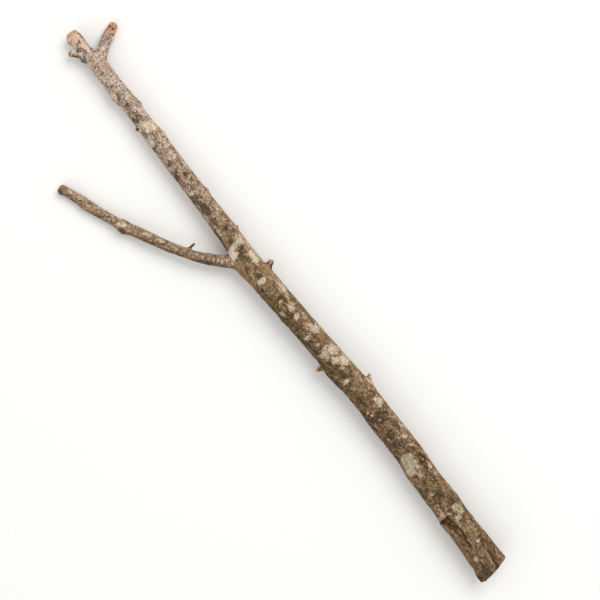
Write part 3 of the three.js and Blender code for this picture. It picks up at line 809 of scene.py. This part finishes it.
def dressed_mesh():
    """The whole skin with its relief, and the bark's coordinates and marks on its points."""
    mesh, points, normals = grown_mesh()
    places = limb_places(points)
    grain, age = grain_place(places)
    masks, ragged = bark_masks(points, places, grain)
    # The tone holds the bark's own lightness and the painted light on its side towards the key light.
    tone, mottled = bark_tone(places, grain, ragged)
    relief, crack = cut_cracks(places, *bark_relief(places, grain, age, masks, ragged), ragged)
    on_face, face_relief, checks = butt_relief(points, places)
    relief = relief * (1 - on_face) + face_relief
    points = points + normals * relief[:, None]
    points[:, 2] = np.maximum(points[:, 2], 0)
    mesh.vertices.foreach_set("co", ((points - ORIGIN) * METRES).ravel())
    values = {
        **masks,
        "age": age,
        "tone": tone,
        "mottled": mottled,
        "crack": np.maximum(crack * (1 - on_face), checks),
        "relief": relief,
        "under": places["stem"]["under"],
        "sawn": on_face,
    }
    for name, value in values.items():
        store(mesh, name, "FLOAT", value)
    store(mesh, "grain", "FLOAT_VECTOR", grain)
    mesh.shade_smooth()
    mesh.update()
    shading = np.empty(len(points) * 3, np.float32)
    mesh.vertex_normals.foreach_get("vector", shading)
    store(mesh, "shading", "FLOAT_VECTOR", shading)
    return mesh


def part_limb(grown, limb, parting):
    """Cuts one limb across, where it parts from what it grew from."""
    along, reach = parting
    centre, _, forward, _, _ = limb.at(float(along))
    middle = Vector((centre - ORIGIN) * METRES)
    reach *= METRES * PARTING_MARGIN
    near = [face for face in grown.faces if (face.calc_center_median() - middle).length < reach]
    parts = set(near).union(*(face.edges for face in near), *(face.verts for face in near))
    cut = bmesh.ops.bisect_plane(
        grown, geom=list(parts), plane_co=middle, plane_no=Vector(forward), dist=1e-8
    )
    edges = [part for part in cut["geom_cut"] if isinstance(part, bmesh.types.BMEdge)]
    bmesh.ops.split_edges(grown, edges=edges)


def loose_parts(grown):
    """Groups of faces that are joined to each other."""
    left = set(grown.faces)
    while left:
        group, queue = set(), [left.pop()]
        while queue:
            face = queue.pop()
            group.add(face)
            for edge in face.edges:
                for other in edge.link_faces:
                    if other in left:
                        left.remove(other)
                        queue.append(other)
        yield group


def piece_from(grown, faces, name):
    """One limb as a closed mesh of its own, shaded at its cuts as the whole branch is."""
    piece = grown.copy()
    keep = {face.index for face in faces}
    bmesh.ops.delete(piece, geom=[face for face in piece.faces if face.index not in keep], context="FACES")
    rims = [edge for edge in piece.edges if edge.is_boundary]
    caps = bmesh.ops.holes_fill(piece, edges=rims, sides=0)["faces"]
    for face in caps:
        face.material_index = CAP_SLOT
    bmesh.ops.triangulate(piece, faces=caps)
    mesh = bpy.data.meshes.new(name)
    piece.to_mesh(mesh)
    piece.free()
    mesh.shade_smooth()
    corners = np.empty(len(mesh.loops), np.int32)
    mesh.loops.foreach_get("vertex_index", corners)
    shading = np.empty(len(mesh.vertices) * 3, np.float32)
    mesh.attributes["shading"].data.foreach_get("vector", shading)
    normals = shading.reshape(-1, 3)[corners]
    for face in mesh.polygons:
        if face.material_index == CAP_SLOT:
            normals[list(face.loop_indices)] = face.normal
    mesh.normals_split_custom_set(normals.tolist())
    mesh.attributes.remove(mesh.attributes["shading"])
    return mesh


def srgb(red, green, blue):
    """A colour as it looks on a screen, from 0 to 255, in the linear values that shaders take."""
    parts = [value / 255 for value in (red, green, blue)]
    return tuple(p / 12.92 if p <= 0.04045 else ((p + 0.055) / 1.055) ** 2.4 for p in parts) + (1.0,)


class Graph:
    """A material's nodes, and short ways to make and join them."""

    def __init__(self, name):
        self.material = bpy.data.materials.new(name)
        self.material.use_nodes = True
        self.tree = self.material.node_tree
        self.shader = self.tree.nodes["Principled BSDF"]
        self.grain = self.attribute("grain", "Vector")

    def add(self, kind, inputs=None, **settings):
        node = self.tree.nodes.new(kind)
        for key, value in settings.items():
            setattr(node, key, value)
        for key, value in (inputs or {}).items():
            if isinstance(value, bpy.types.NodeSocket):
                self.tree.links.new(value, node.inputs[key])
            else:
                node.inputs[key].default_value = value
        return node

    def attribute(self, name, output="Fac"):
        return self.add("ShaderNodeAttribute", attribute_name=name).outputs[output]

    def placed(self, along, around, shift):
        """Places on the bark, in units of that many millimetres along the limb and around it."""
        return self.vector("MULTIPLY_ADD", self.grain, (1 / along, 1 / around, 1 / around), (shift,) * 3)

    def noise(self, along, around, detail, roughness, shift):
        """Noise from 0 to 1 in bumps of that many millimetres along the limb and around it."""
        place = self.placed(along, around, shift)
        inputs = {"Vector": place, "Scale": 1.0, "Detail": detail, "Roughness": roughness}
        return self.add("ShaderNodeTexNoise", inputs).outputs["Fac"]

    def ramp(self, value, stops):
        """A colour from a row of places and colours."""
        node = self.add("ShaderNodeValToRGB", {0: value})
        for _ in stops[2:]:
            node.color_ramp.elements.new(0.5)
        for element, (place, colour) in zip(node.color_ramp.elements, stops):
            element.position = place
            element.color = colour
        return node.outputs[0]

    def math(self, operation, a, b=0.0):
        return self.add("ShaderNodeMath", {0: a, 1: b}, operation=operation).outputs[0]

    def plus(self, value, other, weight=1.0):
        """A value with a share of another one added."""
        return self.math("ADD", value, self.math("MULTIPLY", other, weight))

    def vector(self, operation, *inputs):
        return self.add("ShaderNodeVectorMath", dict(enumerate(inputs)), operation=operation).outputs[0]

    def step(self, value, low, high, top=1.0, bottom=0.0):
        """Runs smoothly from bottom to top as the value goes from low to high."""
        inputs = {"Value": value, "From Min": low, "From Max": high, "To Min": bottom, "To Max": top}
        return self.add("ShaderNodeMapRange", inputs, interpolation_type="SMOOTHSTEP").outputs[0]

    def mix(self, share, under, over):
        return self.add("ShaderNodeMix", {0: share, 6: under, 7: over}, data_type="RGBA").outputs[2]

    def shade(self, colour, factor):
        """The colour made darker or lighter by a factor."""
        return self.add("ShaderNodeVectorMath", {0: colour, "Scale": factor}, operation="SCALE").outputs[0]

    def broken(self, name, fine, spread):
        """A mark's cover, broken up by a fine noise where there is some of it."""
        cover = self.attribute(name)
        rough = self.math("MULTIPLY", self.math("SUBTRACT", fine, 0.5), self.step(cover, 0.02, 0.3, spread))
        return self.step(self.plus(rough, cover, 1.1), 0.38, 0.66)


OLD_BARK = [
    (0.02, srgb(52, 40, 26)), (0.26, srgb(91, 72, 49)), (0.5, srgb(124, 98, 69)),
    (0.72, srgb(153, 125, 93)), (0.98, srgb(193, 170, 136)),
]
YOUNG_BARK = [
    (0.02, srgb(92, 72, 61)), (0.26, srgb(138, 115, 101)), (0.5, srgb(172, 148, 132)),
    (0.72, srgb(196, 174, 160)), (0.98, srgb(222, 207, 194)),
]
# Each kind of mark's colour, how far a full mark hides the bark, and how much its edge is broken up.
MARK_COLOURS = [
    ("dark", srgb(78, 65, 49), 0.8, 2.4), ("rosy", srgb(176, 140, 126), 0.7, 1.8),
    ("lichen", srgb(190, 178, 152), 0.87, 1.7), ("yellow", srgb(160, 146, 98), 0.65, 2.4),
    ("pale", srgb(212, 195, 168), 0.88, 3.2), ("cream", srgb(226, 205, 184), 0.92, 2.0),
    ("sand", srgb(218, 196, 167), 0.92, 1.5),
    # The hollow kind is painted shade, with a few dark spots.
    ("rust", srgb(160, 108, 70), 0.75, 2.4), ("hollow_shade_and_spots", srgb(76, 52, 31), 0.88, 1.5),
    ("peeled", srgb(196, 163, 134), 0.9, 1.6), ("white", srgb(206, 196, 181), 0.92, 1.6),
]
WARM_BARK = srgb(166, 128, 96)
GREEN_BARK = srgb(104, 96, 62)
CREVICE_SHADE_AND_DIRT = srgb(48, 35, 23)
CRACK = srgb(62, 36, 20)
BARE_WOOD = srgb(230, 201, 178)
DEEP_WOOD = srgb(196, 158, 132)
BARE_RUST = srgb(206, 151, 106)
DEEP_RUST = srgb(144, 84, 50)
STAINED_WOOD = srgb(164, 126, 108)
SAWN_WOOD = srgb(188, 156, 118)
SAWN_RING = srgb(128, 92, 58)
SAWN_STAIN = srgb(108, 100, 88)
SAWN_RIM = srgb(82, 70, 52)
# What brings the pith from beside the butt's middle to the middle of the rings, and how wide a ring is.
PITH_SHIFT, RING_WIDTH = (0, -1.2, 0.8), 1.8


def bark_colour(graph, tone):
    """Bark from old and brown at the butt to young and pale at the tips, by its tone."""
    age = graph.attribute("age")
    old, young = graph.ramp(tone, OLD_BARK), graph.ramp(tone, YOUNG_BARK)
    colour = graph.mix(graph.step(age, 0.55, 0.98), old, young)
    warm = graph.step(graph.noise(6, 4.4, 3.0, 0.6, 133.1), 0.5, 0.66, 0.45)
    colour = graph.mix(warm, colour, WARM_BARK)
    green = graph.step(graph.noise(8, 5, 3.0, 0.65, 147.7), 0.52, 0.66, 0.4)
    green = graph.math("MULTIPLY", green, graph.step(tone, 0.75, 0.4))
    return graph.mix(green, colour, GREEN_BARK)


# The bark's mottling, from broad patches to grit: each noise's size along and around the limb, detail,
# roughness and shift, and how strongly it counts. Then the size, wander and weight of the bark's scales.
MOTTLING = [
    ((19, 11, 3.0, 0.6, 3.1), 0.8), ((6.4, 4.2, 3.0, 0.6, 11.7), 0.8),
    ((3.0, 2.1, 2.0, 0.6, 23.3), 1.3), ((1.6, 1.2, 2.0, 0.6, 29.9), 1.9),
]
SCALE_PLACE, SCALE_WANDER, SCALE_WEIGHT = (4.4, 3.2, 5.9), 1.3, 0.16


def bark_tone_graph(graph):
    """How light the bark is, from 0 to 1: its tone, which holds painted light on the side towards the key
    light, broad patches, scales, and mottling as fine as grit.
    """
    place = graph.placed(*SCALE_PLACE)
    wander = graph.add("ShaderNodeTexNoise", {"Vector": place, "Scale": 1.6, "Detail": 2.0})
    place = graph.vector("MULTIPLY_ADD", wander.outputs["Color"], (SCALE_WANDER,) * 3, place)
    cell = graph.add("ShaderNodeTexVoronoi", {"Vector": place, "Scale": 1.0}).outputs["Color"]
    scale = graph.add("ShaderNodeSeparateColor", {0: cell}).outputs[0]
    parts = [(graph.noise(*settings), weight) for settings, weight in MOTTLING] + [(scale, SCALE_WEIGHT)]
    swing = 0.0
    for value, weight in parts:
        swing = graph.plus(swing, graph.math("SUBTRACT", value, 0.5), weight)
    swing = graph.math("MULTIPLY", swing, graph.attribute("mottled"))
    return graph.math("ADD", graph.math("ADD", graph.attribute("tone"), 0.5), swing)


def marked_colour(graph, colour, tone, fine):
    """The marks that lie in their own places on the bark."""
    varied = graph.step(tone, 0.15, 0.8, 1.16, 0.68)
    for name, mark, most, spread in MARK_COLOURS:
        cover = graph.math("MULTIPLY", graph.broken(name, fine, spread), most)
        colour = graph.mix(cover, colour, graph.shade(mark[:3], varied))
    return colour


def speckled_colour(graph, colour):
    """Pinholes and cracks, which hold dirt and painted shade, and painted shade wherever the relief sinks
    low.
    """
    pits = graph.step(graph.noise(2.1, 1.6, 2.0, 0.6, 71.9), 0.36, 0.27, 0.6)
    colour = graph.mix(pits, colour, CREVICE_SHADE_AND_DIRT)
    # Painted shade: darker wherever the relief sinks into a recess.
    low = graph.step(graph.attribute("relief"), -0.1, -0.9, 0.55)
    colour = graph.mix(low, colour, CREVICE_SHADE_AND_DIRT)
    return graph.mix(graph.math("MULTIPLY", graph.attribute("crack"), 0.88), colour, CRACK)


def wood_colour(graph):
    """Bare wood, with fibres, darker weathered streaks, and rust where a twig broke off."""
    fibres = graph.noise(9, 1.2, 3.0, 0.6, 81.3)
    stain = graph.noise(4, 2.4, 3.0, 0.65, 87.7)
    colour = graph.mix(graph.step(fibres, 0.36, 0.62), DEEP_WOOD, BARE_WOOD)
    colour = graph.mix(graph.step(stain, 0.52, 0.66, 0.65), colour, STAINED_WOOD)
    rusty = graph.mix(graph.step(graph.noise(3.2, 0.9, 3.0, 0.7, 89.9), 0.36, 0.6), DEEP_RUST, BARE_RUST)
    return graph.mix(graph.step(graph.attribute("rust"), 0.2, 0.9, 0.9), colour, rusty)


def sawn_colour(graph):
    """The sawn butt: rings about the pith, inside a rim of bark."""
    offset = graph.vector("MULTIPLY_ADD", graph.grain, (0, 1, 1), PITH_SHIFT)
    out = graph.add("ShaderNodeVectorMath", {0: offset}, operation="LENGTH").outputs["Value"]
    bent = graph.plus(out, graph.noise(5, 5, 2.0, 0.5, 91.1), 2.6)
    ring = graph.math("SINE", graph.math("MULTIPLY", bent, 2 * math.pi / RING_WIDTH))
    colour = graph.mix(graph.step(ring, 0.1, 1.0, 0.75), SAWN_WOOD, SAWN_RING)
    stain = graph.step(graph.noise(8, 6, 3.0, 0.6, 95.3), 0.45, 0.7, 0.6)
    colour = graph.mix(stain, colour, SAWN_STAIN)
    colour = graph.mix(graph.step(out, 2.2, 0.6, 0.7), colour, SAWN_RIM)
    rim = graph.step(graph.attribute("under"), 2.3, 1.7, 0.9)
    return graph.mix(rim, colour, SAWN_RIM)


def bark_material(name):
    """One limb's finish. All limbs share it, so that it runs on over the forks."""
    graph = Graph(name)
    tone = bark_tone_graph(graph)
    fine = graph.noise(2.2, 1.8, 4.0, 0.75, 43.7)
    bare = graph.broken("wood", fine, 0.5)
    colour = marked_colour(graph, bark_colour(graph, tone), tone, fine)
    colour = graph.mix(bare, colour, wood_colour(graph))
    colour = graph.mix(graph.attribute("sawn"), colour, sawn_colour(graph))
    colour = speckled_colour(graph, colour)
    graph.tree.links.new(colour, graph.shader.inputs["Base Color"])
    rough = graph.step(bare, 0.0, 1.0, 0.7, 0.94)
    graph.tree.links.new(rough, graph.shader.inputs["Roughness"])
    graph.shader.inputs["Specular IOR Level"].default_value = 0.2
    grit = graph.plus(graph.plus(graph.noise(1.5, 1.2, 3.0, 0.7, 7.7), fine, 0.8), tone, 0.25)
    bumps = graph.add("ShaderNodeBump", {"Height": grit, "Strength": 0.9, "Distance": 0.8 * METRES})
    graph.tree.links.new(bumps.outputs[0], graph.shader.inputs["Normal"])
    return graph.material


def plain_material(name, colour, roughness):
    material = bpy.data.materials.new(name)
    material.use_nodes = True
    shader = material.node_tree.nodes["Principled BSDF"]
    shader.inputs["Base Color"].default_value = colour
    shader.inputs["Roughness"].default_value = roughness
    return material


def heartwood_material():
    """The wood where a limb is parted from what it grew from."""
    graph = Graph("heartwood")
    graph.tree.links.new(sawn_colour(graph), graph.shader.inputs["Base Color"])
    graph.shader.inputs["Roughness"].default_value = 0.8
    return graph.material


# Each limb's name, its parted piece's slot, and a point well inside it.
PIECES = [
    ("lower_stem", "old_bark", stem.at(200.0)[0]),
    ("upper_stem", "young_bark", stem.at(525.0)[0]),
    ("side_branch", "young_bark", side.at(120.0)[0]),
    ("top_spur", "spur_bark", spur.at(30.0)[0]),
]


def dress_branch():
    mesh = dressed_mesh()
    grown = bmesh.new()
    grown.from_mesh(mesh)
    bpy.data.meshes.remove(mesh)
    for limb, parting in ((stem, LEADER_PARTING), (side, SIDE_PARTING), (spur, SPUR_PARTING)):
        part_limb(grown, limb, parting)
    grown.faces.index_update()
    groups = sorted(loose_parts(grown), key=len)[-len(PIECES):]
    middles = [np.mean([face.calc_center_median() for face in group], axis=0) for group in groups]
    heartwood = heartwood_material()
    for name, slot, inside in PIECES:
        target = (inside - ORIGIN) * METRES
        nearest = min(range(len(groups)), key=lambda i: np.linalg.norm(middles[i] - target))
        piece = bpy.data.objects.new(name + "_wood", piece_from(grown, groups[nearest], name + "_wood"))
        bpy.context.scene.collection.objects.link(piece)
        piece.data.materials.append(bark_material(name + "_bark"))
        piece.data.materials.append(heartwood)
        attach(piece, "root")
        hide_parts(name)
    grown.free()


# Two pixels on the photograph's main stem, at its butt and its top, the photograph's middle and its scale.
BUTT_PIXEL = np.array([492.0, 570.0])
TOP_PIXEL = np.array([70.0, 36.0])
MIDDLE_PIXEL = np.array([300.0, 300.0])
MM_PER_PIXEL = 0.95
PHOTO_WIDTH = 600
# The camera's height over the stem's axis, the axis's height, the sensor's width in millimetres, the white
# surround's strength, and half the floor's width.
CAMERA_HEIGHT = 1.5
AXIS_HEIGHT = 0.012
SENSOR = 36.0
SURROUND = 0.74
FLOOR_REACH = 4.0


def place_camera():
    """Looks straight down, turned so that the stem lies across the picture as in the photograph."""
    down_stem = unit(TOP_PIXEL - BUTT_PIXEL)
    right = Vector((down_stem[0], down_stem[1], 0))
    up = Vector((-down_stem[1], down_stem[0], 0))
    from_butt = (MIDDLE_PIXEL - BUTT_PIXEL) * MM_PER_PIXEL
    along = from_butt @ down_stem
    across = from_butt @ np.array([down_stem[1], -down_stem[0]])
    middle = (np.array([along, across, 0]) - ORIGIN) * METRES
    camera = bpy.data.cameras.new("camera")
    camera.sensor_width = SENSOR
    camera.lens = SENSOR * CAMERA_HEIGHT / (PHOTO_WIDTH * MM_PER_PIXEL * METRES)
    camera.dof.use_dof = False
    holder = bpy.data.objects.new("camera", camera)
    turn = Matrix((right, up, right.cross(up))).transposed()
    place = Matrix.Translation((middle[0], middle[1], CAMERA_HEIGHT + AXIS_HEIGHT))
    holder.matrix_world = place @ turn.to_4x4()
    bpy.context.scene.collection.objects.link(holder)
    bpy.context.scene.camera = holder
    return right, up


def area_light(name, direction, distance, size, power):
    lamp = bpy.data.lights.new(name, "AREA")
    lamp.size = size
    lamp.energy = power
    holder = bpy.data.objects.new(name, lamp)
    direction = Vector(direction).normalized()
    holder.location = direction * distance
    holder.rotation_euler = direction.to_track_quat("Z", "Y").to_euler()
    bpy.context.scene.collection.objects.link(holder)


def light_studio(right, up):
    """A broad soft key from the picture's upper right, a weaker fill facing it, and a white surround."""
    over = Vector((0, 0, 1))
    area_light("key", right * 0.55 + up * 0.7 + over * 1.15, distance=2.2, size=1.3, power=22.5)
    area_light("fill", right * -0.7 + up * -0.75 + over * 0.8, distance=2.2, size=1.6, power=6.5)
    world = bpy.data.worlds.new("surround")
    world.use_nodes = True
    background = world.node_tree.nodes["Background"]
    background.inputs["Color"].default_value = (1, 1, 1, 1)
    background.inputs["Strength"].default_value = SURROUND
    bpy.context.scene.world = world
    bpy.context.scene.view_settings.view_transform = "Standard"


def lay_floor():
    mesh = bpy.data.meshes.new("floor")
    corners = [(x * FLOOR_REACH, y * FLOOR_REACH, 0) for x, y in ((-1, -1), (1, -1), (1, 1), (-1, 1))]
    mesh.from_pydata(corners, [], [(0, 1, 2, 3)])
    floor = bpy.data.objects.new("floor", mesh)
    bpy.context.scene.collection.objects.link(floor)
    mesh.materials.append(plain_material("pale_floor", srgb(244, 243, 240), 0.9))


light_studio(*place_camera())
lay_floor()
dress_branch()
